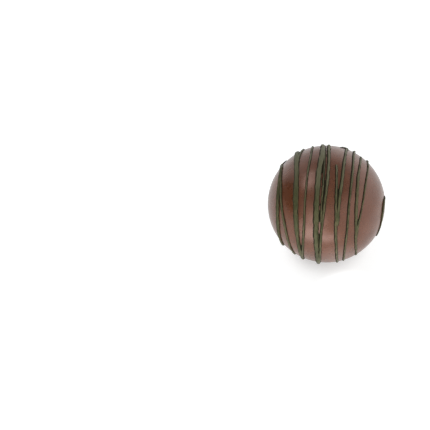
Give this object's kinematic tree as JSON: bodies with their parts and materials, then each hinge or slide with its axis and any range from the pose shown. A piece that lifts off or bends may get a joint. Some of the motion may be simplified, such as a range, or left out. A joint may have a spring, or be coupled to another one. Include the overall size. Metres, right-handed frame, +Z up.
{
  "type": "hot chocolate sphere",
  "caption": "Ball of milk chocolate with strands of green chocolate drizzled over one side. It stands on a small flat spot and melts in hot milk to make a drink.",
  "frame": {"origin": "middle of the small flat spot that the ball stands on", "axes": "+Z up; the drizzled side faces -Y and up; +X to the right as seen from that side"},
  "size_m": [0.06, 0.0608, 0.0606],
  "materials": {
    "milk_chocolate": "satin moulded milk chocolate",
    "green_drizzle": "satin green chocolate, set after pouring"
  },
  "bodies": {
    "root": {"chocolate_sphere": "milk_chocolate"}
  },
  "joints": []
}
